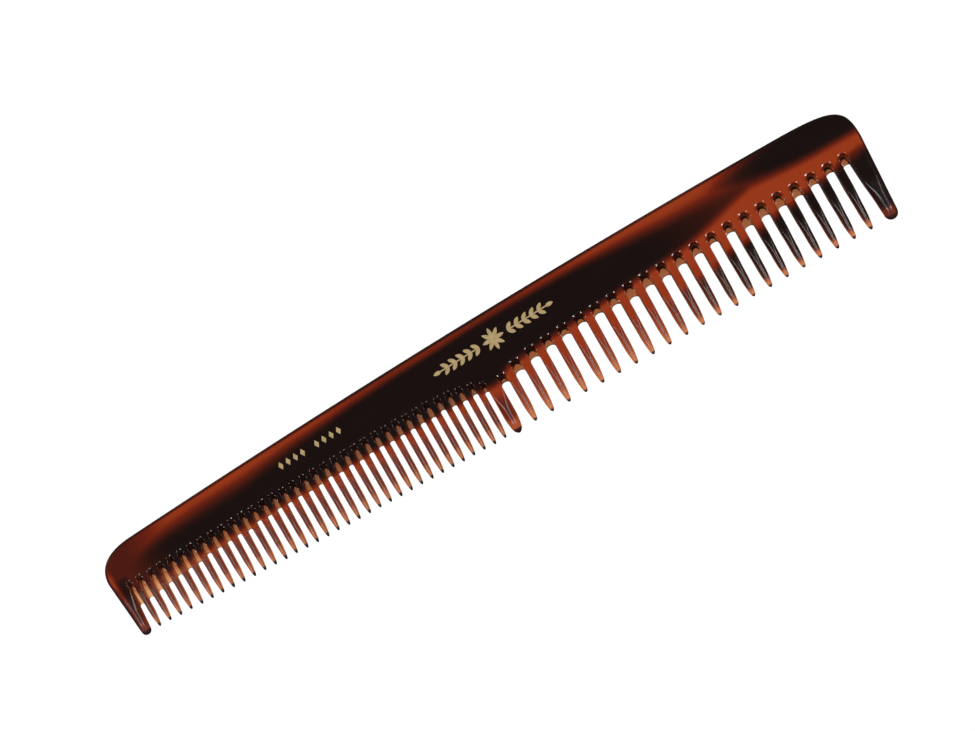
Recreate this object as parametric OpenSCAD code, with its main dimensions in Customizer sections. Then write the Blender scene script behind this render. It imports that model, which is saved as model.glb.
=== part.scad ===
// Hand-sawn two-pitch comb, cut from one sheet of tortoiseshell cellulose acetate.
// It lies flat: X runs along the comb towards the coarse end, the teeth point to -Y,
// Z is the sheet's thickness, and the face with the gold stamping is up.
// Heights across the comb are given from the root datum, a straight line along X.

/* [Sheet] */
// Overall length of the comb
comb_length = 178; // [130:1:240]
// Thickness of the sheet
sheet_t = 4; // [3:0.1:6]

/* [Back edge] */
// Height of the back edge where the fine-end corner begins
edge_fine_h = 6.8; // [5:0.1:10]
// First handle height of the back edge's curve
edge_fine_pull = 10.6; // [8:0.1:13]
// Second handle height of the back edge's curve
edge_coarse_pull = 12.8; // [10:0.1:16]
// Height of the back edge where the coarse-end corner begins
edge_coarse_h = 13.1; // [10:0.1:16]
// Length of the rounded corner at the fine end
fine_corner_len = 8.3; // [4:0.1:12]
// Drop of the rounded corner at the fine end
fine_corner_drop = 6.4; // [4:0.1:9]
// Squareness of the rounded corner at the fine end
fine_corner_ease = 0.62; // [0.4:0.01:0.95]
// Length of the rounded corner at the coarse end
coarse_corner_len = 15.9; // [6:0.1:20]
// Drop of the rounded corner at the coarse end
coarse_corner_drop = 8; // [4:0.1:10]
// Squareness of the rounded corner at the coarse end
coarse_corner_ease = 0.87; // [0.4:0.01:0.95]

/* [Fine teeth] */
// Spacing of the fine teeth before it is evened out along the row
fine_pitch = 2.42; // [1.9:0.01:4]
// Width of the gap between fine teeth
fine_gap = 1.15; // [0.7:0.01:1.5]
// Width of the gaps at the two ends of the fine row
fine_end_gap = 0.97; // [0.6:0.01:1.5]
// Radius of a fine tooth's tip, seen from above
fine_tip_r = 0.42; // [0.2:0.01:0.5]
// Thickness of a fine tooth at its tip
fine_tip_t = 1.5; // [0.8:0.1:2.4]

/* [Coarse teeth] */
// Spacing of the coarse teeth before it is evened out along the row
coarse_pitch = 3.92; // [3.2:0.01:6]
// Width of the gap between coarse teeth
coarse_gap = 2.2; // [1.2:0.01:2.7]
// Width of the gaps at the two ends of the coarse row
coarse_end_gap = 1.85; // [1.2:0.01:2.7]
// Radius of a coarse tooth's tip, seen from above
coarse_tip_r = 0.5; // [0.25:0.01:0.6]
// Thickness of a coarse tooth at its tip
coarse_tip_t = 1.6; // [0.8:0.1:2.4]

/* [Guards and divider] */
// Width of the end guard beside the fine teeth
fine_guard_w = 3.5; // [2.6:0.05:6]
// Radius of that guard's tip
fine_guard_tip_r = 1.05; // [0.6:0.05:1.3]
// How far that guard's tip stands in from the end of the comb
fine_guard_lean = 1.1; // [0.2:0.05:1.3]
// Width of the end guard beside the coarse teeth
coarse_guard_w = 4.6; // [3.8:0.05:7]
// Radius of that guard's tip
coarse_guard_tip_r = 1.5; // [0.8:0.05:1.8]
// How far that guard's tip stands in from the end of the comb
coarse_guard_lean = 0.8; // [0.2:0.05:1.3]
// Place of the divider tooth along the comb
divider_x = -0.96; // [-10:0.01:10]
// Width of the divider tooth
divider_w = 2.8; // [2.1:0.05:4]
// Radius of the divider tooth's tip
divider_tip_r = 0.95; // [0.5:0.05:1.05]
// Thickness of the guards and the divider at their tips
guard_tip_t = 2.4; // [1:0.1:2.8]

/* [Tip line] */
// Depth of the tips below the root datum at the fine end
tip_fine_d = 11.95; // [10:0.05:16]
// First handle depth of the tip line's curve
tip_fine_pull = 13.95; // [11:0.05:18]
// Second handle depth of the tip line's curve
tip_coarse_pull = 12.8; // [11:0.1:18]
// Depth of the tips below the root datum at the coarse end
tip_coarse_d = 12.45; // [10:0.05:16]
// How far the guards and the divider reach past the tip line
guard_reach = 0.4; // [0:0.05:0.6]
// Length over which a tooth narrows to its tip
tip_taper_len = 3; // [1.5:0.1:4.5]
// Length over which a tooth thins to its tip
thin_taper_len = 7; // [3:0.1:7.5]

/* [Gullets] */
// Height of the fine gullets' upper end at the fine end
fine_gullet_h0 = -0.7; // [-2:0.1:0.5]
// Handle height of the fine gullets' curve
fine_gullet_pull = 1.2; // [0:0.1:2]
// Height of the fine gullets' upper end beside the divider, before the dip
fine_gullet_h1 = 1.85; // [0.5:0.05:2.5]
// Height of the coarse gullets' upper end beside the divider, before the dip
coarse_gullet_h0 = 1.3; // [0:0.1:2]
// Handle height of the coarse gullets' curve
coarse_gullet_pull = 3.6; // [2:0.1:4.4]
// Height of the coarse gullets' upper end at the coarse end
coarse_gullet_h1 = 4.3; // [3:0.1:5]
// How much lower the gullets end right beside the divider
gullet_dip = 2.6; // [0:0.1:3]
// How much lower the open slots end right beside the divider
slot_dip = 1.3; // [0:0.1:2]
// Distance from the divider over which both dips fade
dip_reach = 4.3; // [2:0.1:8]
// Length of a fine gullet, from its upper end to the open slot
fine_gullet_len = 3.7; // [3:0.1:4.5]
// Extra length of the fine gullets at the fine end
fine_gullet_extra = 1.9; // [0:0.1:2.5]
// Length of a coarse gullet, from its upper end to the open slot
coarse_gullet_len = 3.1; // [2.6:0.1:4]
// Radius that the saw leaves at a gullet's upper end
cutter_r = 3; // [2.2:0.1:5]
// Thickness of the web between two gullets
web_t = 0.6; // [0.3:0.05:1]

/* [Gold stamping] */
// Place of the large ornament along the comb
ornament_x = 3.6; // [-20:0.1:20]
// Length of the large ornament
ornament_len = 28.5; // [20:0.5:34]
// Diameter of the rosette in its middle
rosette_d = 5; // [3:0.1:6]
// Height of the leaf sprigs beside the rosette
sprig_h = 3.1; // [2:0.1:4]
// Width of one leaf
leaf_w = 0.85; // [0.5:0.05:1.1]
// Width of a sprig's stem
stem_w = 0.3; // [0.2:0.05:0.5]
// Place of the small row of lozenges along the comb
lozenge_x = -39.7; // [-50:0.1:-30]
// Height of a lozenge
lozenge_h = 1.75; // [1:0.05:2.5]
// Width of a lozenge
lozenge_w = 1.05; // [0.6:0.05:1.3]
// Spacing of the lozenges in a group
lozenge_pitch = 1.72; // [1.5:0.01:2]
// Free space between the two groups of lozenges
lozenge_group_gap = 2.3; // [1:0.1:4]
// How far up the back the stampings sit, as a share of its height
stamping_share = 0.43; // [0.35:0.01:0.55]
// Depth that the stamp presses into the face
stamp_depth = 0.1; // [0.06:0.01:0.2]
// Thickness of the foil
foil_t = 0.06; // [0.03:0.01:0.06]

/* [Hidden] */

acetate = "saddlebrown";
gold = "gold";

half_len = comb_length / 2;
mid_z = sheet_t / 2;
// How far a cutting shape runs past the surface that it cuts
past = 1;
edge_steps = 28;
corner_steps = 12;
tip_steps = 8;
saw_steps = 7;
petals = 8;
leaf_pairs = 5;
lozenges_per_group = 4;

// Walls that bound the two rows of teeth
fine_x0 = -half_len + fine_guard_w;
fine_x1 = divider_x - divider_w / 2;
coarse_x0 = divider_x + divider_w / 2;
coarse_x1 = half_len - coarse_guard_w;

// Walls of each tooth of a row between x0 and x1: whole teeth fill it, and the pitch is evened out
function row(x0, x1, end_gap, gap, pitch) =
    let (
        room = x1 - x0 - 2 * end_gap + gap,
        count = round(room / pitch),
        step = room / count
    )
        [for (i = [0 : count - 1]) [x0 + end_gap + i * step, x0 + end_gap + (i + 1) * step - gap]];

// Walls of each gap before, between and after the teeth of a row
function gaps_of(teeth, x0, x1) =
    [for (i = [0 : len(teeth)]) [i == 0 ? x0 : teeth[i - 1][1], i == len(teeth) ? x1 : teeth[i][0]]];

fine_row = row(fine_x0, fine_x1, fine_end_gap, fine_gap, fine_pitch);
coarse_row = row(coarse_x0, coarse_x1, coarse_end_gap, coarse_gap, coarse_pitch);
fine_gaps = gaps_of(fine_row, fine_x0, fine_x1);
coarse_gaps = gaps_of(coarse_row, coarse_x0, coarse_x1);

// Cubic curve through a and d with handles b and c, for numbers or points
function cubic(a, b, c, d, u) =
    pow(1 - u, 3) * a + 3 * pow(1 - u, 2) * u * b + 3 * (1 - u) * u * u * c + pow(u, 3) * d;

// Quadratic curve through a and c with handle b
function quadratic(a, b, c, u) = pow(1 - u, 2) * a + 2 * u * (1 - u) * b + u * u * c;

function share(x, x0, x1) = (x - x0) / (x1 - x0);

function middle(walls) = (walls[0] + walls[1]) / 2;

// How much the dips beside the divider have faded at x
function fade(x) = exp(-max(0, abs(x - divider_x) - divider_w / 2) / dip_reach);

// Height of the gullets' upper end, without the dip beside the divider
function gullet_base(x) =
    x < divider_x
        ? quadratic(fine_gullet_h0, fine_gullet_pull, fine_gullet_h1, share(x, fine_x0, fine_x1))
        : quadratic(coarse_gullet_h0, coarse_gullet_pull, coarse_gullet_h1, share(x, coarse_x0, coarse_x1));

function gullet_top(x) = gullet_base(x) - gullet_dip * fade(x);

// The webs are longest at the fine end, and shrink over the first half of the row
function gullet_len(x) =
    x < divider_x
        ? fine_gullet_len + fine_gullet_extra * pow(max(0, 1 - 2 * share(x, fine_x0, fine_x1)), 2)
        : coarse_gullet_len;

// Height at which the slot between two teeth is open right through
function slot_top(x) = gullet_base(x) - gullet_len(x) - slot_dip * fade(x);

function tip_line(x) =
    cubic(-tip_fine_d, -tip_fine_pull, -tip_coarse_pull, -tip_coarse_d, share(x, fine_x0, coarse_x1));

// Back edge between the two corners
edge_x0 = -half_len + fine_corner_len;
edge_x1 = half_len - coarse_corner_len;
function edge_height(x) =
    cubic(edge_fine_h, edge_fine_pull, edge_coarse_pull, edge_coarse_h, share(x, edge_x0, edge_x1));
edge_points = [
    for (i = [0 : edge_steps])
        let (x = edge_x0 + (edge_x1 - edge_x0) * i / edge_steps)
            [x, edge_height(x)]
];

// The corners leave the back edge along its own direction and end upright
fine_slope = 3 * (edge_fine_pull - edge_fine_h) / (edge_x1 - edge_x0);
coarse_slope = 3 * (edge_coarse_h - edge_coarse_pull) / (edge_x1 - edge_x0);
fine_side = [-half_len, edge_fine_h - fine_corner_drop];
coarse_side = [half_len, edge_coarse_h - coarse_corner_drop];
fine_corner = [
    for (i = [0 : corner_steps - 1])
        cubic(
            fine_side,
            fine_side + [0, fine_corner_drop * fine_corner_ease],
            [edge_x0, edge_fine_h] - fine_corner_len * fine_corner_ease * [1, fine_slope],
            [edge_x0, edge_fine_h],
            i / corner_steps
        )
];
coarse_corner = [
    for (i = [1 : corner_steps])
        cubic(
            [edge_x1, edge_coarse_h],
            [edge_x1, edge_coarse_h] + coarse_corner_len * coarse_corner_ease * [1, coarse_slope],
            coarse_side + [0, coarse_corner_drop * coarse_corner_ease],
            coarse_side,
            i / corner_steps
        )
];

// The back ends where the gullets end, level across each gap and sloping across each tooth
function root_y(gap) = gullet_top(middle(gap));
root_points = [for (gap = concat(fine_gaps, coarse_gaps), x = gap) [x, root_y(gap)]];
fine_guard_root = [fine_x0, root_y(fine_gaps[0])];
coarse_guard_root = [coarse_x1, root_y(coarse_gaps[len(coarse_gaps) - 1])];

// Place where the straight line from a towards b reaches the height y
function at_height(a, b, y) = a + (b - a) * (y - a.y) / (b.y - a.y);

// Angles at which a line from p touches the circle (c, r): side is 1 on the left, -1 on the right
function touch_angle(p, c, r, side) =
    let (d = p - c)
        atan2(d.y, d.x) + side * acos(r / norm(d));

function on_circle(c, r, angle) = c + r * [cos(angle), sin(angle)];

// Outline that runs down the left points, round a tip circle and up the right points
function tipped(left, right, c, r) =
    let (
        a0 = touch_angle(left[len(left) - 1], c, r, 1),
        a1 = touch_angle(right[0], c, r, -1) + 360
    )
        concat(
            left,
            [for (i = [0 : tip_steps]) on_circle(c, r, a0 + (a1 - a0) * i / tip_steps)],
            right
        );

// Tip circles of the guards and the divider, never wider than the tooth itself
fine_tip_round = min(fine_guard_tip_r, (fine_guard_w - fine_guard_lean) / 2);
coarse_tip_round = min(coarse_guard_tip_r, (coarse_guard_w - coarse_guard_lean) / 2);
fine_guard_tip = [
    -half_len + fine_guard_lean + fine_tip_round,
    tip_line(fine_x0) - guard_reach + fine_tip_round
];
coarse_guard_tip = [
    half_len - coarse_guard_lean - coarse_tip_round,
    tip_line(coarse_x1) - guard_reach + coarse_tip_round
];
divider_tip = [divider_x, tip_line(divider_x) - guard_reach + divider_tip_r];

// Corners of the guards where they leave the back
fine_guard_foot = at_height(
    fine_side,
    on_circle(fine_guard_tip, fine_tip_round, touch_angle(fine_side, fine_guard_tip, fine_tip_round, 1)),
    min(fine_guard_root.y, fine_side.y)
);
coarse_guard_foot = at_height(
    coarse_side,
    on_circle(
        coarse_guard_tip,
        coarse_tip_round,
        touch_angle(coarse_side, coarse_guard_tip, coarse_tip_round, -1)
    ),
    min(coarse_guard_root.y, coarse_side.y)
);

// The whole comb is moved so that the middle of its outline lies on the origin
top_y = max([for (p = concat(edge_points, coarse_corner)) p.y]);
low_y = min(fine_guard_tip.y - fine_tip_round, divider_tip.y - divider_tip_r,
            coarse_guard_tip.y - coarse_tip_round);
mid_y = (top_y + low_y) / 2;

module placed() {
    translate([0, -mid_y, 0])
        children();
}

// Side view of a tooth, (height across the sheet, height along the tooth), swept along X
module side_sweep(x, width, top_y, tip_y, tip_t) {
    thin_y = min(tip_y + thin_taper_len, top_y);
    translate([x, 0, 0])
        rotate([0, -90, 0])
            linear_extrude(width + 2 * past, center = true)
                polygon(tipped(
                    [[0, top_y + past], [0, thin_y]],
                    [[sheet_t, thin_y], [sheet_t, top_y + past]],
                    [mid_z, tip_y + tip_t / 2],
                    tip_t / 2
                ));
}

// One sawn tooth between the gaps on its left and on its right
module tooth(left_gap, right_gap, tip_y, tip_r, tip_t) {
    walls = [left_gap[1], right_gap[0]];
    roots = [root_y(left_gap), root_y(right_gap)];
    intersection() {
        linear_extrude(sheet_t)
            polygon(tipped(
                [[walls[0], roots[0]], [walls[0], tip_y + tip_taper_len]],
                [[walls[1], tip_y + tip_taper_len], [walls[1], roots[1]]],
                [middle(walls), tip_y + tip_r],
                tip_r
            ));
        side_sweep(middle(walls), walls[1] - walls[0], max(roots), tip_y, tip_t);
    }
}

// A row of teeth between the gaps of that row
module teeth(gaps, tip_r, tip_t) {
    color(acetate)
        placed()
            for (i = [1 : len(gaps) - 1])
                tooth(gaps[i - 1], gaps[i], tip_line((gaps[i - 1][1] + gaps[i][0]) / 2), tip_r, tip_t);
}

// Guard tooth at an end of the comb, from the points on its left and on its right
module guard(left, right, tip, tip_r) {
    color(acetate)
        placed()
            intersection() {
                linear_extrude(sheet_t)
                    polygon(tipped(left, right, tip, tip_r));
                side_sweep(tip.x, 2 * (right[0].x - left[0].x), max(left[0].y, right[0].y), tip.y - tip_r,
                           guard_tip_t);
            }
}

// Saw cut from the upper face between the walls of one gap: round at its upper end, flat on the web
module saw_cut(gap) {
    floor_z = mid_z + web_t / 2;
    end_angle = acos((cutter_r - (sheet_t - floor_z)) / cutter_r);
    foot_y = root_y(gap) - cutter_r * sin(end_angle);
    low_y = min(slot_top(gap[0]), slot_top(gap[1])) - past;
    translate([middle(gap), 0, 0])
        rotate([0, -90, 0])
            linear_extrude(gap[1] - gap[0] + 2 * past, center = true)
                polygon(concat(
                    [[sheet_t + past, low_y], [floor_z, low_y]],
                    [
                        for (i = [0 : saw_steps])
                            let (a = end_angle * i / saw_steps)
                                [floor_z + cutter_r * (1 - cos(a)), foot_y + cutter_r * sin(a)]
                    ],
                    [[sheet_t + past, root_y(gap)]]
                ));
}

// What the saw leaves between two teeth, from the back down to the open slot
module webs(gaps) {
    color(acetate)
        placed()
            for (gap = gaps)
                difference() {
                    linear_extrude(sheet_t)
                        polygon([
                            [gap[0], root_y(gap)],
                            [gap[1], root_y(gap)],
                            [gap[1], slot_top(gap[1])],
                            [gap[0], slot_top(gap[0])]
                        ]);
                    saw_cut(gap);
                    translate([0, 0, sheet_t])
                        mirror([0, 0, 1])
                            saw_cut(gap);
                }
}

module back() {
    color(acetate)
        difference() {
            placed()
                linear_extrude(sheet_t)
                    polygon(concat(
                        fine_corner,
                        edge_points,
                        coarse_corner,
                        [coarse_guard_foot],
                        [for (i = [len(root_points) - 1 : -1 : 0]) root_points[i]],
                        [fine_guard_foot]
                    ));
            stamped(stamp_depth, past)
                rosette_shape();
            stamped(stamp_depth, past)
                sprigs_shape();
            stamped(stamp_depth, past)
                lozenges_shape();
        }
}

module fine_end_guard() {
    guard([fine_guard_foot], [fine_guard_root], fine_guard_tip, fine_tip_round);
}

module fine_teeth() {
    teeth(fine_gaps, fine_tip_r, fine_tip_t);
}

module fine_webs() {
    webs(fine_gaps);
}

module divider_tooth() {
    color(acetate)
        placed()
            tooth(fine_gaps[len(fine_gaps) - 1], coarse_gaps[0], divider_tip.y - divider_tip_r, divider_tip_r,
                  guard_tip_t);
}

module coarse_teeth() {
    teeth(coarse_gaps, coarse_tip_r, coarse_tip_t);
}

module coarse_webs() {
    webs(coarse_gaps);
}

module coarse_end_guard() {
    guard([coarse_guard_root], [coarse_guard_foot], coarse_guard_tip, coarse_tip_round);
}

// Height of the line that the stampings sit on
function stamping_y(x) = gullet_base(x) + stamping_share * (edge_height(x) - gullet_base(x)) - mid_y;

// Moves a flat shape to its place on the back, in line with the back
module on_back(x) {
    tilt = atan2(stamping_y(x + past) - stamping_y(x - past), 2 * past);
    translate([x, stamping_y(x)])
        rotate(tilt)
            children();
}

// A flat shape from the bottom of the stamped recess up, height above the face given by over
module stamped(depth, over) {
    translate([0, 0, sheet_t - depth])
        linear_extrude(depth + over)
            children();
}

// Pointed leaf from the origin along X
module leaf(length, width) {
    r = (pow(length / 2, 2) + pow(width / 2, 2)) / width;
    intersection() {
        translate([length / 2, r - width / 2])
            circle(r, $fn = 64);
        translate([length / 2, width / 2 - r])
            circle(r, $fn = 64);
    }
}

module rosette_shape() {
    on_back(ornament_x) {
        circle(d = 0.3 * rosette_d, $fn = 32);
        for (i = [0 : petals - 1])
            rotate(i * 360 / petals)
                leaf(rosette_d / 2, leaf_w);
    }
}

// One sprig runs from the rosette to the end of the ornament
module sprig_shape() {
    gap = 0.16 * rosette_d;
    start = rosette_d / 2 + gap;
    length = (ornament_len - rosette_d) / 2 - gap;
    lean = 40;
    leaf_len = (sprig_h - leaf_w * cos(lean)) / (2 * sin(lean));
    step = (length - leaf_len) / leaf_pairs;
    translate([start, -stem_w / 2])
        square([length - leaf_len / 2, stem_w]);
    for (i = [0 : leaf_pairs - 1], side = [-1, 1])
        translate([start + step * i, 0])
            rotate(side * lean)
                leaf(leaf_len, leaf_w);
    translate([start + length - leaf_len, 0])
        leaf(leaf_len, leaf_w);
}

module sprigs_shape() {
    on_back(ornament_x) {
        sprig_shape();
        mirror([1, 0])
            sprig_shape();
    }
}

module lozenge_shape() {
    polygon([
        [-lozenge_w / 2, 0],
        [0, -lozenge_h / 2],
        [lozenge_w / 2, 0],
        [0, lozenge_h / 2]
    ]);
}

module lozenges_shape() {
    first = lozenge_group_gap / 2 + lozenge_w / 2;
    on_back(lozenge_x)
        for (i = [0 : lozenges_per_group - 1], side = [-1, 1])
            translate([side * (first + i * lozenge_pitch), 0])
                lozenge_shape();
}

// The foil lies on the floor of its recess, a little below the face
module foil() {
    color(gold)
        stamped(stamp_depth, foil_t - stamp_depth)
            children();
}

module foil_rosette() {
    foil()
        rosette_shape();
}

module foil_sprigs() {
    foil()
        sprigs_shape();
}

module foil_lozenges() {
    foil()
        lozenges_shape();
}

back();
fine_end_guard();
fine_teeth();
fine_webs();
divider_tooth();
coarse_teeth();
coarse_webs();
coarse_end_guard();
foil_rosette();
foil_sprigs();
foil_lozenges();
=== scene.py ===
"""Tortoiseshell acetate comb with gold foil stampings, lying on a pale floor.

Shapes are worked out in millimetres in the comb's own frame, with heights measured from the sheet's
middle plane, and are turned into metres when a mesh is made.
"""
import math
import random

import bpy
import bmesh
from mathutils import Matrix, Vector, geometry


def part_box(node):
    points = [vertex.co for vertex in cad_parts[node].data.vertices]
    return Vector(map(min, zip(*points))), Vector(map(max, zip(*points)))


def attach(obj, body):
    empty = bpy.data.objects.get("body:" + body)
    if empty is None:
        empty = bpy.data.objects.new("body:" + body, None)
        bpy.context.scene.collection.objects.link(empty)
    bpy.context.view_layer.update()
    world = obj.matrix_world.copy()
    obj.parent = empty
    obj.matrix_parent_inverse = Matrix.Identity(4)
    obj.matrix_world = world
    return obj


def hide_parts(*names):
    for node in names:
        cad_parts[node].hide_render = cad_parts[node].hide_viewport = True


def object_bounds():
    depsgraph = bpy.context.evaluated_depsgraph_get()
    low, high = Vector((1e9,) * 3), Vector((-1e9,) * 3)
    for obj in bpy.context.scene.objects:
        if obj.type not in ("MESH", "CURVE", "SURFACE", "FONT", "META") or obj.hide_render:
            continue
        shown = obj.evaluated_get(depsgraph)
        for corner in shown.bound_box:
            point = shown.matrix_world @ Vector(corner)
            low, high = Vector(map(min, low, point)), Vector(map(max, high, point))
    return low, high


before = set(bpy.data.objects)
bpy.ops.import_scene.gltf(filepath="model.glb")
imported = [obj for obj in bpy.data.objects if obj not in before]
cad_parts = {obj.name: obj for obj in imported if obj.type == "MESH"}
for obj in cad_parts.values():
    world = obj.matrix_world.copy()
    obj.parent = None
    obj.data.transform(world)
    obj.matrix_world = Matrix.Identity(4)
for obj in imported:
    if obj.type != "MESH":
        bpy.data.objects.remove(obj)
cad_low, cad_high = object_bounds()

MM = 0.001
rng = random.Random(12)

# ---------------------------------------------------------------------------------------------
# Driving dimensions in millimetres, as in the CAD model. y is measured from the root datum.
# ---------------------------------------------------------------------------------------------
HALF_LEN = (cad_high.x - cad_low.x) / MM / 2
HALF_T = (cad_high.z - cad_low.z) / MM / 2

# Heights that shape the back's edge, and its two rounded corners
EDGE_CURVE = (6.8, 10.6, 12.8, 13.1)
FINE_CORNER = {"len": 8.3, "drop": 6.4, "ease": 0.62}
COARSE_CORNER = {"len": 15.9, "drop": 8.0, "ease": 0.87}

# Heights that shape the line of the tips, and how far the guards and the divider reach past it
TIP_CURVE = (-11.95, -13.95, -12.8, -12.45)
GUARD_REACH = 0.4

# A tooth narrows over "narrow" to the half width "tip_half", and thins over THIN_LEN to about half the
# thickness "tip_t"
FINE = {"count": 34, "end_gap": 0.97, "gap": 1.15, "tip_half": 0.22, "narrow": 4.2, "tip_t": 0.8}
COARSE = {"count": 21, "end_gap": 1.85, "gap": 2.2, "tip_half": 0.36, "narrow": 5.0, "tip_t": 0.85}
DIVIDER = {"tip_half": 0.75, "narrow": 4.5, "tip_t": 1.2}
FINE_GUARD = {"tip_r": 1.05, "lean": 1.1, "tip_t": 1.2}
COARSE_GUARD = {"tip_r": 1.5, "lean": 0.8, "tip_t": 1.3}
THIN_LEN = 8.5

# Gullets: heights of their upper ends along each row, their lengths, and the dips beside the divider
FINE_GULLET = (-0.7, 1.2, 1.85)
COARSE_GULLET = (1.3, 3.6, 4.3)
FINE_GULLET_LEN = 3.7
FINE_GULLET_EXTRA = 1.9
COARSE_GULLET_LEN = 3.1
GULLET_DIP = 2.6
SLOT_DIP = 1.3
DIP_REACH = 4.3
CUTTER_R = 3.0
WEB_T = 0.6

# Recesses of the foil pieces
RECESS = 0.105
FOIL_NODES = ("foil_rosette", "foil_sprigs", "foil_lozenges")

# How far handwork strays from the lines above. The open slots also wander in a wave along the row.
GULLET_STRAY = 0.08
TIP_STRAY = 0.07
FINE_WANDER = {"height": 0.12, "start": 0.0, "turn": 0.9, "stray": 0.22}
COARSE_WANDER = {"height": 0.42, "start": 43.0, "turn": 0.196, "stray": 0.25}

FINE_X0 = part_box("fine_end_guard")[1].x / MM
FINE_X1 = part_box("divider_tooth")[0].x / MM
COARSE_X0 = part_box("divider_tooth")[1].x / MM
COARSE_X1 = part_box("coarse_end_guard")[0].x / MM
DIVIDER_X = (FINE_X1 + COARSE_X0) / 2
DIVIDER_W = COARSE_X0 - FINE_X1
EDGE_X0 = -HALF_LEN + FINE_CORNER["len"]
EDGE_X1 = HALF_LEN - COARSE_CORNER["len"]

# Smallest size in mm that counts
TINY = 1e-6


# ---------------------------------------------------------------------------------------------
# Curves
# ---------------------------------------------------------------------------------------------
def mix(a, b, u):
    return a + (b - a) * u


def share(x, x0, x1):
    return (x - x0) / (x1 - x0)


def smooth(u):
    u = min(1.0, max(0.0, u))
    return u * u * (3 - 2 * u)


def quadratic(a, b, c, u):
    return (1 - u) ** 2 * a + 2 * u * (1 - u) * b + u * u * c


def cubic(a, b, c, d, u):
    return (1 - u) ** 3 * a + 3 * (1 - u) ** 2 * u * b + 3 * (1 - u) * u * u * c + u**3 * d


def sag(t):
    """How far a unit circle has dropped from its top at the distance t from its middle."""
    return 1 - math.sqrt(max(0.0, 1 - t * t))


def bulge(u):
    """Height of a quarter circle, steep at u = 0 and level at u = 1."""
    return 1 - sag(1 - u)


def edge_height(x):
    return cubic(*EDGE_CURVE, share(x, EDGE_X0, EDGE_X1))


def outline(steps_corner=26, steps_edge=90):
    """Points of the back's outline, from the fine end over the back edge to the coarse end."""
    f, c = FINE_CORNER, COARSE_CORNER
    slope0 = 3 * (EDGE_CURVE[1] - EDGE_CURVE[0]) / (EDGE_X1 - EDGE_X0)
    slope1 = 3 * (EDGE_CURVE[3] - EDGE_CURVE[2]) / (EDGE_X1 - EDGE_X0)

    start = Vector((-HALF_LEN, EDGE_CURVE[0] - f["drop"]))
    top = Vector((EDGE_X0, EDGE_CURVE[0]))
    rise = Vector((0, f["drop"] * f["ease"]))
    along = Vector((1, slope0)) * f["len"] * f["ease"]
    points = [cubic(start, start + rise, top - along, top, i / steps_corner) for i in range(steps_corner)]

    for i in range(steps_edge + 1):
        x = mix(EDGE_X0, EDGE_X1, i / steps_edge)
        points.append(Vector((x, edge_height(x))))

    top = Vector((EDGE_X1, EDGE_CURVE[3]))
    end = Vector((HALF_LEN, EDGE_CURVE[3] - c["drop"]))
    rise = Vector((0, c["drop"] * c["ease"]))
    along = Vector((1, slope1)) * c["len"] * c["ease"]
    for i in range(1, steps_corner + 1):
        points.append(cubic(top, top + along, end + rise, end, i / steps_corner))
    return points


OUTLINE = outline()
# The CAD model is centred on its outline, so its top tells where the root datum lies
DATUM = cad_high.y / MM - max(p.y for p in OUTLINE)


def tip_line(x):
    return cubic(*TIP_CURVE, share(x, FINE_X0, COARSE_X1))


def dip_share(x):
    """Share of the dips beside the divider that is left at x."""
    return math.exp(-max(0.0, abs(x - DIVIDER_X) - DIVIDER_W / 2) / DIP_REACH)


def gullet_base(x):
    """Height of the gullets' upper ends, without the dip."""
    if x < DIVIDER_X:
        return quadratic(*FINE_GULLET, share(x, FINE_X0, FINE_X1))
    return quadratic(*COARSE_GULLET, share(x, COARSE_X0, COARSE_X1))


def gullet_len(x):
    """Length of a gullet. The fine ones get longer over the half of their row that is next to the guard."""
    if x < DIVIDER_X:
        return FINE_GULLET_LEN + FINE_GULLET_EXTRA * max(0.0, 1 - 2 * share(x, FINE_X0, FINE_X1)) ** 2
    return COARSE_GULLET_LEN


def slot_wander(x):
    """The saw was set by hand: the open slots wander a little along the row."""
    row = FINE_WANDER if x < DIVIDER_X else COARSE_WANDER
    wave = row["height"] * math.sin((x - row["start"]) * row["turn"])
    return wave + rng.uniform(-row["stray"], row["stray"])


# ---------------------------------------------------------------------------------------------
# Gaps between teeth: the groove that the saw leaves, and the slot that is open right through
# ---------------------------------------------------------------------------------------------
# Rows of points up a gap: over the web's rounded edge, along the groove's floor, up the lip, on the face
GAP_ROWS = [("edge", q) for q in (0.0, 0.08, 0.3, 0.65, 1.0)]
GAP_ROWS += [("floor", q) for q in (0.16, 0.31, 0.45, 0.57, 0.68, 0.78, 0.86, 0.93, 0.98, 1.0)]
GAP_ROWS += [("lip", q) for q in (0.08, 0.5, 0.92, 1.1)]
GAP_ROWS += [("face", 1.0)]
GAP_COLS = 8

# Length of the web's rounded edge, and of the face that a gap takes in above its groove
WEB_EDGE = 0.25
FACE_MARGIN = 0.55
# Shares of half the gap's width
FILLET_R = 0.14
SLOT_ROUNDING = 0.75
GROOVE_ROUNDING = 1.05
LIP_LEN = 0.28
# How square the open slot's end is: 2 would be an ellipse
SLOT_POWER = 2.3
LIP_SLOPE = 0.35
# The lip is worked out up to this share of half the gap, and gets this much longer at most
LIP_SHARE = 0.95
LIP_STRETCH = 2.2


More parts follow.
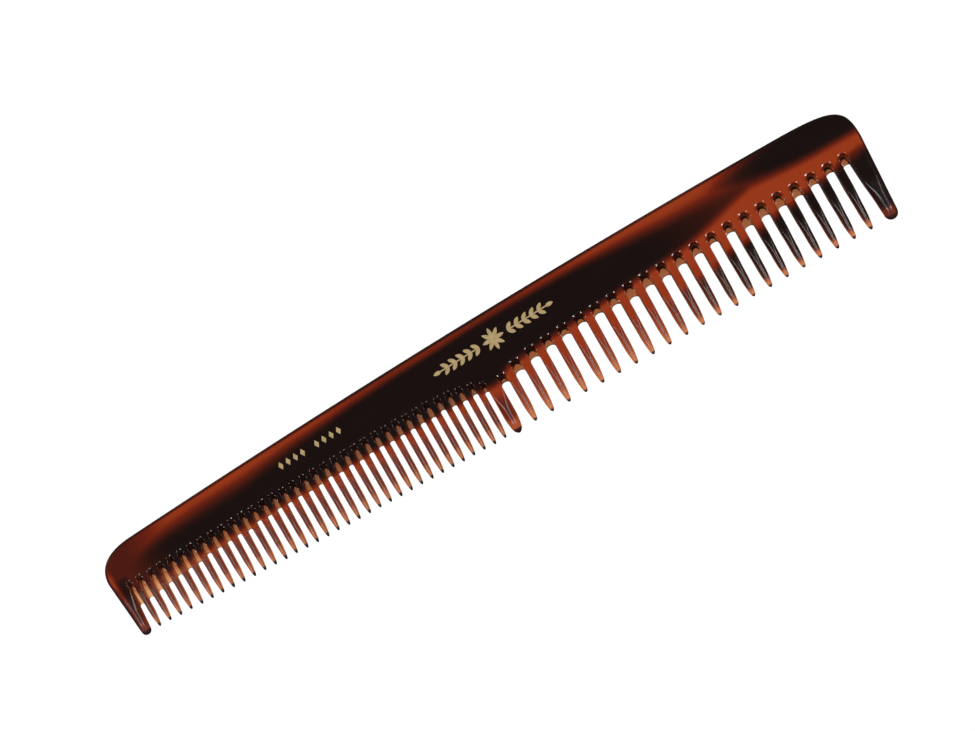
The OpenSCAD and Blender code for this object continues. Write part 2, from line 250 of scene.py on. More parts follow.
class Gap:
    """The gap between the walls x0 and x1, with its groove's floor and its rows of points."""

    def __init__(self, x0, x1):
        self.x0, self.x1 = x0, x1
        self.mid, self.half = (x0 + x1) / 2, (x1 - x0) / 2
        dip, base = dip_share(self.mid), gullet_base(self.mid)
        self.root = base - GULLET_DIP * dip + rng.uniform(-GULLET_STRAY, GULLET_STRAY)
        self.slot = base - gullet_len(self.mid) - SLOT_DIP * dip + slot_wander(self.mid)
        self.fillet = FILLET_R * self.half
        self.lip = LIP_LEN * self.half
        self.lip_z = HALF_T - LIP_SLOPE * self.lip
        self.centre_z = WEB_T / 2 + CUTTER_R
        self.foot = self.root - self.lip - self.run(CUTTER_R)
        columns = [-self.half * math.cos(math.pi * i / GAP_COLS) for i in range(GAP_COLS + 1)]
        self.rows = [[self.point(xi, part, q) for xi in columns] for part, q in GAP_ROWS]

    def run(self, r):
        """Length of the groove's curved end, for a cutter of radius r, up to the lip."""
        return math.sqrt(r * r - (self.centre_z - self.lip_z) ** 2)

    def lift(self, xi):
        """Small fillet between the groove's floor and the wall of the tooth."""
        return self.fillet * sag(max(0.0, (abs(xi) - (self.half - self.fillet)) / self.fillet))

    def slot_edge(self, xi):
        """y of the open slot's upper end, xi from the gap's middle."""
        t = min(1.0, abs(xi / self.half))
        return self.slot - SLOT_ROUNDING * self.half * (1 - (1 - t**SLOT_POWER) ** (1 / SLOT_POWER))

    def groove_end(self, xi):
        """y where the groove's floor meets the lip: the end is round as seen from above."""
        rounding = GROOVE_ROUNDING * self.half * sag(xi / self.half)
        return self.foot + self.run(CUTTER_R - self.lift(xi)) - rounding

    def lip_len(self, xi):
        """Length along y of the polished lip at the groove's end; its width square to the edge is even."""
        t = min(LIP_SHARE, abs(xi / self.half))
        lean = GROOVE_ROUNDING * t / math.sqrt(1 - t * t)
        return self.lip * min(LIP_STRETCH, math.sqrt(1 + lean * lean))

    def floor(self, xi, y):
        """Height of the groove's floor above the middle plane, up to the lip."""
        lift = self.lift(xi)
        if y <= self.foot:
            return WEB_T / 2 + lift
        r = CUTTER_R - lift
        run = self.run(r) * (y - self.foot) / (self.groove_end(xi) - self.foot)
        return self.centre_z - math.sqrt(r * r - run * run)

    def point(self, xi, part, q):
        """Point at the share q of a part of the gap, xi from the gap's middle."""
        low, high = self.slot_edge(xi), self.groove_end(xi)
        if part == "edge":
            y = low + WEB_EDGE * q
            z = self.floor(xi, y) * bulge(q)
        elif part == "floor":
            y = mix(low + WEB_EDGE, high, q)
            z = self.floor(xi, y)
        elif part == "lip":
            y = high + q * self.lip_len(xi)
            z = mix(self.lip_z, HALF_T, min(1.0, q))
        else:
            y, z = self.root + FACE_MARGIN, HALF_T
        return Vector((self.mid + xi, y, z))


def row_gaps(x0, x1, row):
    """The gaps before, between and after the teeth of one row, which fill it evenly."""
    step = (x1 - x0 - 2 * row["end_gap"] + row["gap"]) / row["count"]
    left = x0 + row["end_gap"]
    gaps = [Gap(x0, left)]
    for i in range(1, row["count"]):
        gaps.append(Gap(left + i * step - row["gap"], left + i * step))
    gaps.append(Gap(x1 - row["end_gap"], x1))
    return gaps


# ---------------------------------------------------------------------------------------------
# Teeth
# ---------------------------------------------------------------------------------------------
# Rows of points: distances from the tip, and the number of even steps from there to the open slots' ends
TIP_ROWS = (0.0, 0.03, 0.1, 0.2, 0.34, 0.55, 0.85, 1.25, 1.7, 2.1, 2.5, 3.0)
SHANK_ROWS = 9

# Thickness near the tip: a rounded cap, a facet between two shares of "tip_t", then a rise to the sheet
CAP_LEN = 0.5
FACET_LEN = 2.4
FACET_T = (0.7, 1.5)
FACET_BOW = 0.2
THIN_POWER = 1.5
# Length of the tip's round end as seen from above, as a share of the tip's half width and a bit more
NOSE_SHARE = 1.3
NOSE_EXTRA = 0.15
# The section is fully round up to this height above the tip, and has its plain corners from twice this height
ROUND_LEN = 5.0

# Rounding between a side and the face, at most CORNER_SHARE of what there is
TOOTH_CORNER = {"inset": 0.3, "height": 0.4, "steps": 5}
BACK_CORNER = {"inset": 1.25, "height": 1.75, "steps": 9}
CORNER_SHARE = 0.9
# The same where the section is round, as shares of half the width and half the thickness
ROUND_INSET = 0.96
ROUND_HEIGHT = 0.98
# Above 1, the rounding's points lie closer together near the face
ARC_POWER = 1.4
# Strip of the face that a side takes in, and its largest share of what is left
FACE_STRIP = 0.2
FACE_SHARE = 0.4


def side_profile(corner, half_w, half_t, roundness):
    """(distance in from the side, height) from the middle plane up to the face, rounder towards the tip."""
    inset = mix(min(corner["inset"], CORNER_SHARE * half_w), ROUND_INSET * half_w, roundness)
    height = mix(min(corner["height"], CORNER_SHARE * half_t), ROUND_HEIGHT * half_t, roundness)
    wall = half_t - height
    points = [(0.0, 0.0), (0.0, wall)]
    steps = corner["steps"]
    for i in range(1, steps + 1):
        a = math.pi / 2 * (1 - (1 - i / steps) ** ARC_POWER)
        points.append((inset * (1 - math.cos(a)), wall + height * math.sin(a)))
    points.append((inset + min(FACE_STRIP, FACE_SHARE * (half_w - inset)), half_t))
    return points


class Tooth:
    """A tooth between two gaps. A guard has an outline side in place of one gap."""

    def __init__(self, left_gap, right_gap, shape, tip_y, corners=None, sides=None):
        self.left_gap, self.right_gap = left_gap, right_gap
        self.shape, self.tip_y = shape, tip_y
        self.corners = corners or (TOOTH_CORNER, TOOTH_CORNER)
        self.sides = sides or self.straight_sides

    def straight_sides(self, y):
        """x of both sides at y: the tooth's full width, narrowing to a round tip."""
        x0, x1 = self.left_gap.x1, self.right_gap.x0
        mid, half = (x0 + x1) / 2, (x1 - x0) / 2
        d = y - self.tip_y
        tip = min(self.shape["tip_half"], half)
        width = mix(half, tip, (1 - min(1.0, d / self.shape["narrow"])) ** 2)
        width *= bulge(min(1.0, d / (NOSE_SHARE * tip + NOSE_EXTRA)))
        return mid - width, mid + width

    def half_t(self, y):
        """Half the thickness at y: a steep facet at the tip, then a slow rise to the full sheet."""
        d = y - self.tip_y
        facet = min(1.0, d / FACET_LEN)
        facet_t = self.shape["tip_t"] * mix(*FACET_T, facet * (1 + FACET_BOW - FACET_BOW * facet))
        u = min(1.0, max(0.0, share(d, FACET_LEN, THIN_LEN)))
        return mix(facet_t, HALF_T, 1 - (1 - u) ** THIN_POWER) * bulge(min(1.0, d / CAP_LEN))

    def section(self, y_left, y_right, floors=(0.0, 0.0)):
        """Row of points from the left side over the face to the right side, each side from its floor up."""
        runs = []
        for side, corner in enumerate(self.corners):
            y = (y_left, y_right)[side]
            x0, x1 = self.sides(y)
            half_w, half_t = (x1 - x0) / 2, self.half_t(y)
            roundness = 1 - smooth((y - self.tip_y - ROUND_LEN) / ROUND_LEN)
            run = []
            for inset, z in side_profile(corner, half_w, half_t, roundness):
                w = inset / max(TINY, 2 * half_w)
                if side == 1:
                    w = 1 - w
                yw = mix(y_left, y_right, w)
                z = mix(floors[side], self.half_t(yw), z / max(TINY, half_t))
                run.append(Vector((mix(*self.sides(yw), w), yw, z)))
            runs.append(run)
        y = (y_left + y_right) / 2
        middle = Vector((sum(self.sides(y)) / 2, y, self.half_t(y)))
        return runs[0] + [middle] + runs[1][::-1]

    def lower_rows(self, low_left, low_right):
        """Rows from the tip to the open slots' ends."""
        rows = [self.section(self.tip_y + d, self.tip_y + d) for d in TIP_ROWS]
        base = self.tip_y + TIP_ROWS[-1]
        for i in range(1, SHANK_ROWS + 1):
            q = i / SHANK_ROWS
            rows.append(self.section(mix(base, low_left, q), mix(base, low_right, q)))
        return rows

    def rows(self):
        """Rows from the tip to the open slots' ends, and the rows beside the grooves."""
        left = [row[-1] for row in self.left_gap.rows] if self.left_gap else None
        right = [row[0] for row in self.right_gap.rows] if self.right_gap else None
        beside = list(zip(left or right, right or left))
        lower = self.lower_rows(beside[0][0].y, beside[0][1].y)
        upper = []
        for a, b in beside:
            upper.append(self.section(a.y, b.y, (a.z if left else 0.0, b.z if right else 0.0)))
        return lower, upper


def circle_side(y, foot, centre, radius, side):
    """x of a guard's side: a straight line from foot that touches the tip circle, then the circle."""
    d = foot - centre
    angle = math.atan2(d.y, d.x) + side * math.acos(radius / d.length)
    touch = centre + radius * Vector((math.cos(angle), math.sin(angle)))
    if y > touch.y:
        return mix(touch.x, foot.x, share(y, touch.y, foot.y))
    dy = min(radius, abs(y - centre.y))
    return centre.x - side * math.sqrt(radius * radius - dy * dy)


def guard(shape, gap, at_fine_end):
    """Guard tooth at an end of the comb: its outer side runs on from the back's outline."""
    side = 1 if at_fine_end else -1
    end = OUTLINE[0] if at_fine_end else OUTLINE[-1]
    wall_x = gap.x0 if at_fine_end else gap.x1
    tip_y = tip_line(wall_x) - GUARD_REACH
    r = shape["tip_r"]
    centre = Vector((end.x + side * (shape["lean"] + r), tip_y + r))
    inner_foot = Vector((wall_x, gap.slot_edge(gap.half)))

    def sides(y):
        outer = circle_side(y, end, centre, r, side)
        inner = wall_x if y > inner_foot.y else circle_side(y, inner_foot, centre, r, -side)
        return (outer, inner) if at_fine_end else (inner, outer)

    if at_fine_end:
        return Tooth(None, gap, shape, tip_y, (BACK_CORNER, TOOTH_CORNER), sides)
    return Tooth(gap, None, shape, tip_y, (TOOTH_CORNER, BACK_CORNER), sides)


def row_teeth(gaps, row):
    """The teeth between the gaps of one row."""
    teeth = []
    for left, right in zip(gaps, gaps[1:]):
        tip_y = tip_line((left.x1 + right.x0) / 2) + rng.uniform(-TIP_STRAY, TIP_STRAY)
        teeth.append(Tooth(left, right, row, tip_y))
    return teeth


# ---------------------------------------------------------------------------------------------
# The acetate body, one closed mesh
# ---------------------------------------------------------------------------------------------
# In metres: points this close are one point, and edges this short are taken out
WELD = 2e-7
SHORTEST_EDGE = 1e-7
# In degrees: edges sharper than this are not smoothed over
SHARP = 48
# In millimetres: points of the face's border this close are one point
SAME_POINT = 1e-4
# In metres: how far below a foil piece's top a point may lie and still belong to it
TOP_MARGIN = 1e-6


class Shell:
    """Collects the upper half of a body that is symmetrical about the middle plane, bar some faces."""

    def __init__(self):
        self.points = []
        self.both, self.upper, self.lower = [], [], []

    def add_grid(self, rows):
        """Faces between rows of points that have the same length."""
        start, cols = len(self.points), len(rows[0])
        for row in rows:
            self.points += row
        for i in range(len(rows) - 1):
            for j in range(cols - 1):
                a = start + i * cols + j
                self.both.append((a, a + 1, a + cols + 1, a + cols))

    def add_faces(self, points, faces, group):
        """Faces for one group: both halves, or only the upper or the lower one."""
        start = len(self.points)
        self.points += points
        group += [tuple(start + i for i in f) for f in faces]

    def closed_mesh(self, name):
        """Mirrors the half, joins it along the middle plane and turns it into metres."""
        bm = bmesh.new()
        for sign, extra in ((1, self.upper), (-1, self.lower)):
            verts = []
            for p in self.points:
                verts.append(bm.verts.new((p.x * MM, (p.y + DATUM) * MM, (HALF_T + sign * p.z) * MM)))
            for f in self.both + extra:
                bm.faces.new([verts[i] for i in f[::sign]])
        bmesh.ops.remove_doubles(bm, verts=bm.verts, dist=WELD)
        bmesh.ops.dissolve_degenerate(bm, edges=bm.edges, dist=SHORTEST_EDGE)
        bmesh.ops.delete(bm, geom=[v for v in bm.verts if not v.link_faces], context="VERTS")
        bmesh.ops.recalc_face_normals(bm, faces=bm.faces)
        mesh = bpy.data.meshes.new(name)
        bm.to_mesh(mesh)
        bm.free()
        for polygon in mesh.polygons:
            polygon.use_smooth = True
        mesh.set_sharp_from_angle(angle=math.radians(SHARP))
        return mesh


def back_band(first_row, last_row):
    """Rounded edge of the back, from the fine guard's outer side to the coarse guard's, ring by ring."""
    profile = side_profile(BACK_CORNER, HALF_LEN, HALF_T, 0.0)
    path = [p for p in OUTLINE if p.y > (first_row[0].y if p.x < 0 else last_row[-1].y)]
    rings = [first_row[: len(profile)]]
    for i, p in enumerate(path):
        before, after = path[max(0, i - 1)], path[min(len(path) - 1, i + 1)]
        along = (after - before).normalized()
        inward = Vector((along.y, -along.x))
        rings.append([Vector((p.x + inward.x * a, p.y + inward.y * a, z)) for a, z in profile])
    rings.append(last_row[::-1][: len(profile)])
    return rings


def anticlockwise(loop):
    area = sum(a.x * b.y - b.x * a.y for a, b in zip(loop, loop[1:] + loop[:1]))
    return loop if area > 0 else loop[::-1]


def rim_loops(rim):
    """Sorts the edges around flat faces into closed loops of vertices. A list keeps the loops' order fixed."""
    loops = []
    while rim:
        edge = rim.pop(0)
        loop, at = [edge.verts[0]], edge.verts[1]
        while at is not loop[0]:
            loop.append(at)
            edge = next(e for e in at.link_edges if e in rim)
            rim.remove(edge)
            at = edge.other_vert(at)
        loops.append(loop)
    return loops


def foil_outlines():
    """Outlines of the CAD model's foil pieces, in the comb's frame: the recesses have the same."""
    outlines = []
    for name in FOIL_NODES:
        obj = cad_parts[name]
        bm = bmesh.new()
        bm.from_mesh(obj.data)
        bm.transform(obj.matrix_world)
        bmesh.ops.remove_doubles(bm, verts=bm.verts, dist=SHORTEST_EDGE)
        top = max(v.co.z for v in bm.verts) - TOP_MARGIN
        lid = {f for f in bm.faces if all(v.co.z > top for v in f.verts)}
        rim = [e for e in bm.edges if len(lid.intersection(e.link_faces)) == 1]
        for loop in rim_loops(rim):
            outlines.append(anticlockwise([Vector((v.co.x / MM, v.co.y / MM - DATUM)) for v in loop]))
        bm.free()
    return outlines


def raised(points, z):
    return [p.to_3d() + Vector((0, 0, z)) for p in points]


def fill_face(shell, border):
    """The flat faces: the upper one has a recess for each foil piece, the lower one is plain."""
    flat = []
    for p in border:
        if not flat or (p.xy - flat[-1]).length > SAME_POINT:
            flat.append(p.xy)
    if (flat[0] - flat[-1]).length < SAME_POINT:
        flat.pop()
    points, faces = anticlockwise(flat), [list(range(len(flat)))]
    outlines = foil_outlines()
    for loop in outlines:
        faces.append(list(range(len(points), len(points) + len(loop))))
        points += loop

    # A triangle held by more than the first face lies in a recess
    points, _, triangles, _, _, inside = geometry.delaunay_2d_cdt(points, [], faces, 1, TINY)
    recess = [t for t, held_by in zip(triangles, inside) if max(held_by) > 0]
    plain = [t for t, held_by in zip(triangles, inside) if max(held_by) == 0]
    shell.add_faces(raised(points, HALF_T), plain, shell.upper)
    shell.add_faces(raised(points, HALF_T - RECESS), recess, shell.upper)
    shell.add_faces(raised(points, HALF_T), triangles, shell.lower)
    for loop in outlines:
        n = len(loop)
        walls = [(i, (i + 1) % n, n + (i + 1) % n, n + i) for i in range(n)]
        shell.add_faces(raised(loop, HALF_T) + raised(loop, HALF_T - RECESS), walls, shell.upper)


def acetate_mesh():
    """The whole sheet: teeth and gaps side by side, the back's rounded edge, and the flat faces."""
    fine = row_gaps(FINE_X0, FINE_X1, FINE)
    coarse = row_gaps(COARSE_X0, COARSE_X1, COARSE)
    teeth = [guard(FINE_GUARD, fine[0], True)]
    teeth += row_teeth(fine, FINE)
    teeth.append(Tooth(fine[-1], coarse[0], DIVIDER, tip_line(DIVIDER_X) - GUARD_REACH))
    teeth += row_teeth(coarse, COARSE)
    teeth.append(guard(COARSE_GUARD, coarse[-1], False))

    shell = Shell()
    root, tooth_tops = [], []
    for tooth, gap in zip(teeth, fine + coarse + [None]):
        lower, upper = tooth.rows()
        shell.add_grid(lower)
        shell.add_grid(upper)
        tooth_tops.append(upper[-1])
        root += upper[-1]
        if gap:
            shell.add_grid(gap.rows)
            root += gap.rows[-1]
    rings = back_band(tooth_tops[0], tooth_tops[-1])
    shell.add_grid(rings)

    # The rings hold the guards' outer sides, so the faces' border starts and ends at the rings' last points
    held = len(rings[0]) - 1
    border = root[held : len(root) - held] + [ring[-1] for ring in rings[::-1][1:-1]]
    fill_face(shell, border)
    return shell.closed_mesh("acetate_body")


# ---------------------------------------------------------------------------------------------
# Materials. Places are in millimetres from the comb's middle, and darkness goes from 0 to 1.
# ---------------------------------------------------------------------------------------------
# Colour of the acetate by its darkness, which holds the clouds and also painted light and shade
TORTOISESHELL = (
    (0.0, (0.93, 0.6, 0.3, 1)),
    (0.3, (0.45, 0.18, 0.065, 1)),
    (0.55, (0.21, 0.11, 0.07, 1)),
    (0.8, (0.07, 0.04, 0.02, 1)),
    (1.0, (0.016, 0.009, 0.006, 1)),
)
# Colour that the acetate lets through, and how fast it does so per metre
ACETATE_TINT = (0.736, 0.331, 0.069, 1)
ACETATE_DENSITY = 1050.0
ACETATE_IOR = 1.49
# Roughness where the polish is best and worst, and how much rougher the teeth are
POLISH = (0.14, 0.2)
TOOTH_DULLNESS = 0.13

# Darkness of the core of a fine and a coarse tooth and of the rest of a tooth, and the painted shade of a fine
# and a coarse web, which stands in for the shadow under them
CORE_DARKNESS = (0.45, 0.27)
TOOTH_DARKNESS = 0.04
WEB_PAINTED_SHADE = (0.5, 0.36)
# Darkness that a tooth's flanks lose as painted light, darkness of the guards' tips, and the painted shade of
# every tip's end and of sawn ends
FLANK_PAINTED_LIGHT = 0.25
GUARD_TIP_DARKNESS = 0.4
TIP_END_PAINTED_SHADE = 0.97
END_ON_PAINTED_SHADE = 0.93

# Foil where the die pressed it less and more
FOIL_SHADED = (0.5, 0.36, 0.17, 1)
FOIL_BRIGHT = (0.7, 0.54, 0.29, 1)
FOIL_ROUGHNESS = (0.62, 0.5)

# Glow of the table, seen straight and in a mirror
TABLE_GLOW = (1.05, 0.05)

# Noise keeps within about a third of its middle value, so this brings it to about 1 either way
NOISE_SPREAD = 3


class Nodes:
    """Short way to write a node tree."""

    def __init__(self, name):
        self.material = bpy.data.materials.new(name)
        self.material.use_nodes = True
        self.tree = self.material.node_tree
        self.tree.nodes.clear()

    def add(self, kind, settings=None, **inputs):
        node = self.tree.nodes.new("ShaderNode" + kind)
        for key, value in (settings or {}).items():
            setattr(node, key, value)
        for key, value in inputs.items():
            self.put(node, key.replace("_", " "), value)
        return node

    def put(self, node, key, value):
        socket = node.inputs[key]
        if isinstance(value, bpy.types.NodeSocket):
            self.tree.links.new(value, socket)
        else:
            socket.default_value = value

    def math(self, operation, *values):
        node = self.add("Math", {"operation": operation})
        for i, value in enumerate(values):
            self.put(node, i, value)
        return node.outputs[0]

    def plus(self, a, b):
        return self.math("ADD", a, b)

    def minus(self, a, b):
        return self.math("SUBTRACT", a, b)

    def times(self, first, *others):
        for other in others:
            first = self.math("MULTIPLY", first, other)
        return first

    def most(self, first, *others):
        for other in others:
            first = self.math("MAXIMUM", first, other)
        return first

    def absolute(self, a):
        return self.math("ABSOLUTE", a)

    def rest(self, a):
        """What is left of 1."""
        return self.minus(1.0, a)

    def share(self, value, start, length):
        """(value - start) / length."""
        return self.times(self.minus(value, start), 1 / length)

    def smoothstep(self, value, low, high, to_low=0.0, to_high=1.0):
        node = self.add("MapRange", {"interpolation_type": "SMOOTHSTEP"}, Value=value)
        for key, number in (("From Min", low), ("From Max", high), ("To Min", to_low), ("To Max", to_high)):
            node.inputs[key].default_value = number
        return node.outputs[0]

    def blend(self, factor, first, second):
        """Mix of two colours: inputs 6 and 7 and output 2 are the node's colour sockets."""
        node = self.add("Mix", {"data_type": "RGBA"})
        self.put(node, 0, factor)
        self.put(node, 6, first)
        self.put(node, 7, second)
        return node.outputs[2]

    def ramp(self, factor, stops):
        node = self.add("ValToRGB", Fac=factor)
        elements = node.color_ramp.elements
        first, *between, last = stops
        elements[0].position, elements[0].color = first
        elements[1].position, elements[1].color = last
        for position, colour in between:
            elements.new(position).color = colour
        return node.outputs[0]

    def finish(self, surface, volume=None):
        out = self.add("OutputMaterial")
        self.put(out, "Surface", surface.outputs[0])
        if volume:
            self.put(out, "Volume", volume.outputs[0])
        return self.material


def comb_places(n):
    """Sockets for where a point lies, as a vector and by axis, and for the way its surface faces."""
    place = n.add("TexCoord")
    scaled = n.add("VectorMath", {"operation": "SCALE"})
    n.put(scaled, 0, place.outputs["Object"])
    n.put(scaled, "Scale", 1 / MM)
    axes = n.add("SeparateXYZ", Vector=scaled.outputs[0])
    facing = n.add("SeparateXYZ", Vector=place.outputs["Normal"])
    return scaled.outputs[0], axes.outputs, facing.outputs


def torn(n, place, scale, amount, seed=0.0):
    """Noise of the given stretch, about zero and up to about the given amount either way."""
    stretch = n.add("Mapping", Vector=place)
    stretch.inputs["Scale"].default_value = scale
    stretch.inputs["Location"].default_value = (seed, seed, seed)
    noise = n.add("TexNoise", Vector=stretch.outputs[0], Scale=1.0, Detail=3.0, Roughness=0.5)
    return n.times(n.minus(noise.outputs[0], 0.5), NOISE_SPREAD * amount)


def depth_below_edge(n, place, x, y):
    """How far a point lies below the back's edge, a little torn, so that the clouds' borders are uneven."""
    u = n.share(x, EDGE_X0, EDGE_X1 - EDGE_X0)
    rise = 3 * (EDGE_CURVE[1] - EDGE_CURVE[0])
    bow = EDGE_CURVE[3] - EDGE_CURVE[0] - rise
    edge = n.plus(n.times(n.plus(n.times(u, bow), rise), u), EDGE_CURVE[0] + DATUM)
    return n.plus(n.minus(edge, y), torn(n, place, (0.025, 0.12, 0.3), 0.7))


def main_cloud(n, x, y, depth):
    """The main cloud: closest to the back's edge in the middle of the comb, and down to the gullets."""
    # The clear band above it is 2.1 mm deep at x = -5, and up to 4.9 mm away from there
    off = n.share(x, -5.0, 38)
    band = n.math("MINIMUM", n.plus(n.times(off, off, 1.6), 2.1), 4.9)
    cloud = n.smoothstep(n.math("DIVIDE", depth, band), 0.15, 1.15)

    # Its lower border follows the gullets, and turns up towards the coarse end
    fine_low = n.minus(n.times(n.math("POWER", n.plus(x, 25.0), 2.0), -0.00045), 1.7)
    coarse_low = n.plus(n.plus(n.times(x, 0.085), -0.3), n.smoothstep(x, 45.0, 68.0, 0.0, 2.8))
    coarse_side = n.smoothstep(x, -1.0, 4.0)
    low = n.plus(n.times(fine_low, n.rest(coarse_side)), n.times(coarse_low, coarse_side))
    cloud = n.times(cloud, n.smoothstep(n.minus(y, low), -1.6, 0.9))

    # It thins out towards both ends
    return n.times(cloud, n.smoothstep(x, 38.0, 66.0, 1.0, 0.6), n.smoothstep(x, -87.0, -73.0, 0.5, 1.0))


def coarse_lens(n, x, depth):
    """A long lens by the coarse end: its middle is at x = 84, 2.9 mm below the back's edge."""
    along, across = n.share(x, 84.0, 29), n.share(depth, 2.9, 4.2)
    size = n.math("SQRT", n.plus(n.times(along, along), n.times(across, across)))
    return n.smoothstep(size, 0.55, 1.15, 1.0, 0.0)


def coarse_corner(n, place, x, y):
    """A cloud over the lower halves of the last coarse teeth, below a rising line."""
    ragged = n.plus(y, torn(n, place, (0.25, 0.2, 0.3), 1.0, 7.0))
    below = n.minus(n.plus(n.times(x, 0.17), -11.4), ragged)
    return n.times(n.smoothstep(below, -1.3, 2.0), n.smoothstep(x, 18.0, 62.0))


def fine_rim(n, x, y):
    """What is left of the darkness beside the thin clear rim along the fine guard's outer side."""
    inward = n.minus(n.plus(x, 89.0), n.times(n.minus(4.4, y), 0.065))
    clear = n.smoothstep(n.minus(1.6, inward), 0.0, 0.8)
    return n.rest(n.times(clear, n.smoothstep(y, 5.0, 1.0, 0.5, 0.85)))


def clouds(n, place, x, y):
    """Darkness of the acetate's mottle: long clouds along the sheet, with clearer amber between."""
    depth = depth_below_edge(n, place, x, y)
    rim = fine_rim(n, x, y)
    fine_end = n.smoothstep(x, -84.0, -68.0, 0.55, 0.0)
    guard_core = n.times(n.smoothstep(y, 3.5, -1.0, 0.0, 0.88), n.smoothstep(x, -84.2, -85.2))
    end = n.times(n.most(fine_end, guard_core), rim)
    main = n.times(main_cloud(n, x, y, depth), rim)
    return n.most(main, coarse_lens(n, x, depth), coarse_corner(n, place, x, y), end)


def tooth_shade(n, axes, facing, dark):
    """Darkness of the teeth: a darker core low down, painted light on the flanks and in a clear band by the
    tip, painted shade on the webs and at every tip's end.
    """
    x, y = axes["X"], axes["Y"]
    coarse_side = n.smoothstep(x, -1.0, 1.0)
    on_tooth = n.smoothstep(y, -2.0, 0.5, 1.0, 0.0)
    off_middle = n.absolute(n.minus(axes["Z"], HALF_T))

    # Height above the tips, whose line is close to a flat parabola
    tip = n.plus(n.times(n.plus(n.times(x, 0.00012), -0.003), x), -13.1)
    height = n.minus(y, tip)

    # The core is darker in the fine teeth
    core = n.times(n.smoothstep(height, 9.5, 6.0), n.smoothstep(height, 1.9, 4.0))
    core = n.times(core, n.smoothstep(x, -1.0, 1.0, *CORE_DARKNESS))
    # The core keeps to the faces, so walls near the middle plane are lighter: painted light
    shade = n.times(n.plus(core, TOOTH_DARKNESS), on_tooth, n.smoothstep(off_middle, 0.3, 1.0))

    # Webs are thin, so they have no cloud, only a painted shade for the shadow under them, which fades out
    # down the fine ones
    fine_web = n.times(n.rest(coarse_side), n.smoothstep(y, -6.0, -0.5, 0.0, WEB_PAINTED_SHADE[0]))
    web = n.plus(n.times(coarse_side, WEB_PAINTED_SHADE[1]), fine_web)
    thin = n.times(n.smoothstep(off_middle, 0.9, 0.4), n.smoothstep(y, 3.0, 4.0, 1.0, 0.0))
    shade = n.most(n.times(dark, n.rest(thin)), n.plus(shade, n.times(thin, web)))

    # Painted light: sides that face sideways are clearer, as light crosses them by a short path
    flank_light = n.smoothstep(n.absolute(facing["X"]), 0.2, 0.85)
    shade = n.minus(shade, n.times(flank_light, on_tooth, FLANK_PAINTED_LIGHT))
    # Painted light: a clear band by the tip, where light passes through the thin acetate
    shade = n.times(shade, n.smoothstep(height, 1.5, 3.4))
    guard_tip = n.times(n.smoothstep(n.absolute(x), 84.8, 85.6, 0.0, GUARD_TIP_DARKNESS), on_tooth)
    # Painted shade at every tip's end, where the steep rounded end turns dark
    tip_end_shade = n.smoothstep(height, 0.7, 1.15, TIP_END_PAINTED_SHADE, 0.0)
    return n.most(shade, guard_tip, tip_end_shade)


def end_on_painted_shade(n, axes, facing):
    """Painted shade on sawn and turned ends and on the back's edge, picked by the way the surface faces: light
    enters them along the sheet.
    """
    x, y = axes["X"], axes["Y"]
    gullet_end = n.times(n.smoothstep(facing["Y"], -0.6, -0.3, 1.0, 0.0), n.smoothstep(y, -6.0, -4.0))
    back_edge = n.smoothstep(facing["Y"], 0.5, 0.8)
    sideways = n.smoothstep(n.absolute(facing["X"]), 0.5, 0.8)
    outer = n.times(sideways, n.smoothstep(n.absolute(x), 85.5, 87.0))
    return n.times(n.most(back_edge, gullet_end, outer), END_ON_PAINTED_SHADE)


def acetate_material():
    """Amber acetate with dark clouds, clear enough to see light through, with painted light and shade on its
    teeth, webs and ends.
    """
    n = Nodes("tortoiseshell_acetate")
    place, axes, facing = comb_places(n)
    dark = tooth_shade(n, axes, facing, clouds(n, place, axes["X"], axes["Y"]))
    # Painted shade on the gullets' ends, the back's edge and the guards' outer sides
    dark = n.most(dark, end_on_painted_shade(n, axes, facing))

    # Polish varies a little, and the teeth are duller than the back
    polish = n.smoothstep(torn(n, place, (0.12, 0.3, 0.3), 0.5, 3.0), -0.6, 0.6, *POLISH)
    polish = n.plus(polish, n.smoothstep(axes["Y"], -5.0, -2.5, TOOTH_DULLNESS, 0.0))
    colour = n.ramp(dark, TORTOISESHELL)
    shader = n.add("BsdfPrincipled", Base_Color=colour, Roughness=polish, IOR=ACETATE_IOR)
    shader.inputs["Transmission Weight"].default_value = 1.0
    volume = n.add("VolumeAbsorption", Color=ACETATE_TINT, Density=ACETATE_DENSITY)
    return n.finish(shader, volume)


def foil_material():
    """Stamped gold foil: a satin metal, a little uneven where the die pressed it."""
    n = Nodes("gold_foil")
    place = comb_places(n)[0]
    press = torn(n, place, (1.3, 1.3, 1.3), 0.5, 5.0)
    colour = n.blend(n.smoothstep(press, -0.5, 0.5), FOIL_SHADED, FOIL_BRIGHT)
    satin = n.smoothstep(press, -0.5, 0.5, *FOIL_ROUGHNESS)
    shader = n.add("BsdfPrincipled", Base_Color=colour, Roughness=satin, Metallic=1.0)
    return n.finish(shader)


def floor_material():
    """Lit white table top. Mirrored light sees it dimmer, as a table masked close around the comb."""
    n = Nodes("pale_floor")
    path = n.add("LightPath")
    strength = n.smoothstep(path.outputs["Is Reflection Ray"], 0.0, 1.0, *TABLE_GLOW)
    glow = n.add("Emission", Color=(1, 1, 1, 1), Strength=strength)
    return n.finish(glow)


# ---------------------------------------------------------------------------------------------
# Scene, in metres
# ---------------------------------------------------------------------------------------------
# The camera looks straight down on the comb, and is rolled by so many degrees. Its sensor is in millimetres.
CAMERA_HEIGHT = 0.65
CAMERA_AIM = (-0.00005, 0.00182)
CAMERA_ROLL = -29.3
VIEW_WIDTH = 0.19765
SENSOR_WIDTH = 36

FLOOR_HALF = 3.0
FLOOR_Z = -0.0001

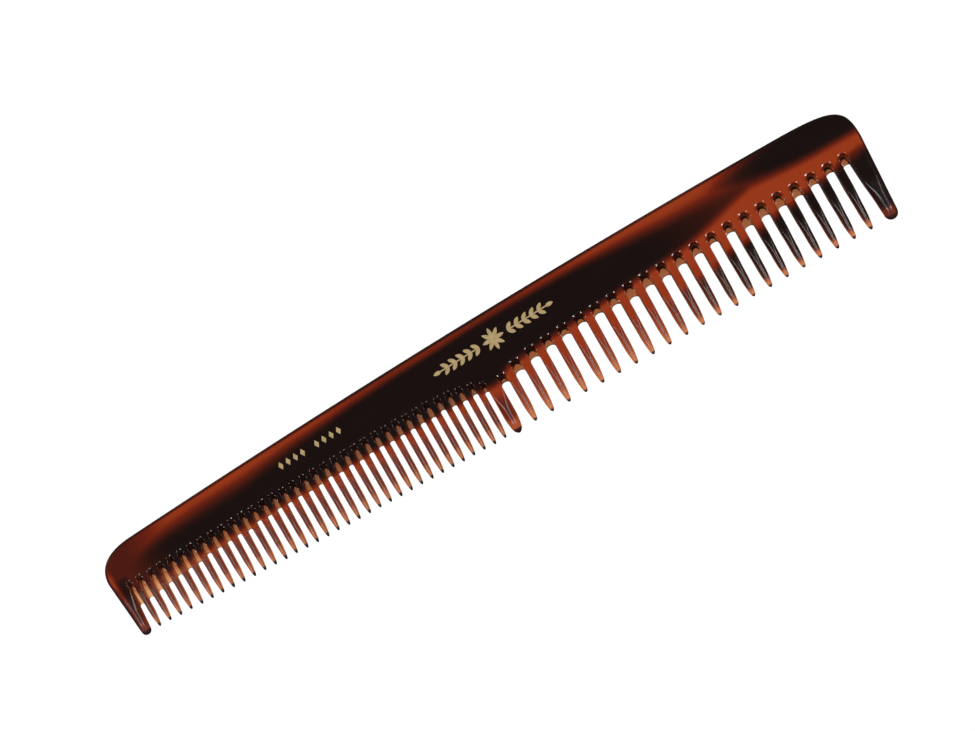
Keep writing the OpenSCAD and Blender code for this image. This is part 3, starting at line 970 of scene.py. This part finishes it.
# Softboxes stand in front of the teeth, above the comb's ends: direction, distance, size and power
SOFTBOX_WAY = Vector((0.52, -0.33, 0.79))
SOFTBOX_DISTANCE = 1.1
SOFTBOX_SIZE = (0.46, 0.16)
SOFTBOX_POWER = 5.5

ROOM_COLOUR = (1, 0.98, 0.96, 1)
ROOM_STRENGTH = 0.12


def link(name, data):
    obj = bpy.data.objects.new(name, data)
    bpy.context.scene.collection.objects.link(obj)
    return obj


def make_camera():
    data = bpy.data.cameras.new("camera")
    data.sensor_width = SENSOR_WIDTH
    data.lens = SENSOR_WIDTH * CAMERA_HEIGHT / VIEW_WIDTH
    camera = link("camera", data)
    camera.location = (*CAMERA_AIM, CAMERA_HEIGHT + 2 * HALF_T * MM)
    camera.rotation_euler = (0, 0, math.radians(CAMERA_ROLL))
    bpy.context.scene.camera = camera


def make_floor():
    mesh = bpy.data.meshes.new("floor")
    corners = [(x * FLOOR_HALF, y * FLOOR_HALF, FLOOR_Z) for x, y in ((-1, -1), (1, -1), (1, 1), (-1, 1))]
    mesh.from_pydata(corners, [], [(0, 1, 2, 3)])
    mesh.materials.append(floor_material())
    floor = link("floor", mesh)


def make_softbox(name, side):
    """Area light above the fine end (side -1) or the coarse end (side 1)."""
    data = bpy.data.lights.new(name, "AREA")
    data.shape = "RECTANGLE"
    data.size, data.size_y = SOFTBOX_SIZE
    data.energy = SOFTBOX_POWER
    light = link(name, data)
    way = Vector((side * SOFTBOX_WAY.x, SOFTBOX_WAY.y, SOFTBOX_WAY.z))
    light.location = way.normalized() * SOFTBOX_DISTANCE
    light.rotation_euler = (-light.location).to_track_quat("-Z", "Y").to_euler()


def make_lights():
    """Two softboxes and a dim room around them."""
    make_softbox("fine_end_softbox", -1)
    make_softbox("coarse_end_softbox", 1)
    world = bpy.data.worlds.new("studio")
    bpy.context.scene.world = world
    world.use_nodes = True
    background = world.node_tree.nodes["Background"]
    background.inputs["Color"].default_value = ROOM_COLOUR
    background.inputs["Strength"].default_value = ROOM_STRENGTH


def make_body():
    """The acetate as one piece, in place of the CAD nodes that it is split into."""
    body = link("acetate_body", acetate_mesh())
    body.data.materials.append(acetate_material())
    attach(body, "root")
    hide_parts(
        "back", "fine_end_guard", "fine_teeth", "fine_webs", "divider_tooth", "coarse_teeth",
        "coarse_webs", "coarse_end_guard"
    )


def gild_foils():
    """The foil pieces are shown as the CAD model has them."""
    gold = foil_material()
    for name in FOIL_NODES:
        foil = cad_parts[name].data
        foil.materials.clear()
        foil.materials.append(gold)


make_camera()
make_floor()
make_lights()
make_body()
gild_foils()
bpy.context.scene.view_settings.view_transform = "Standard"
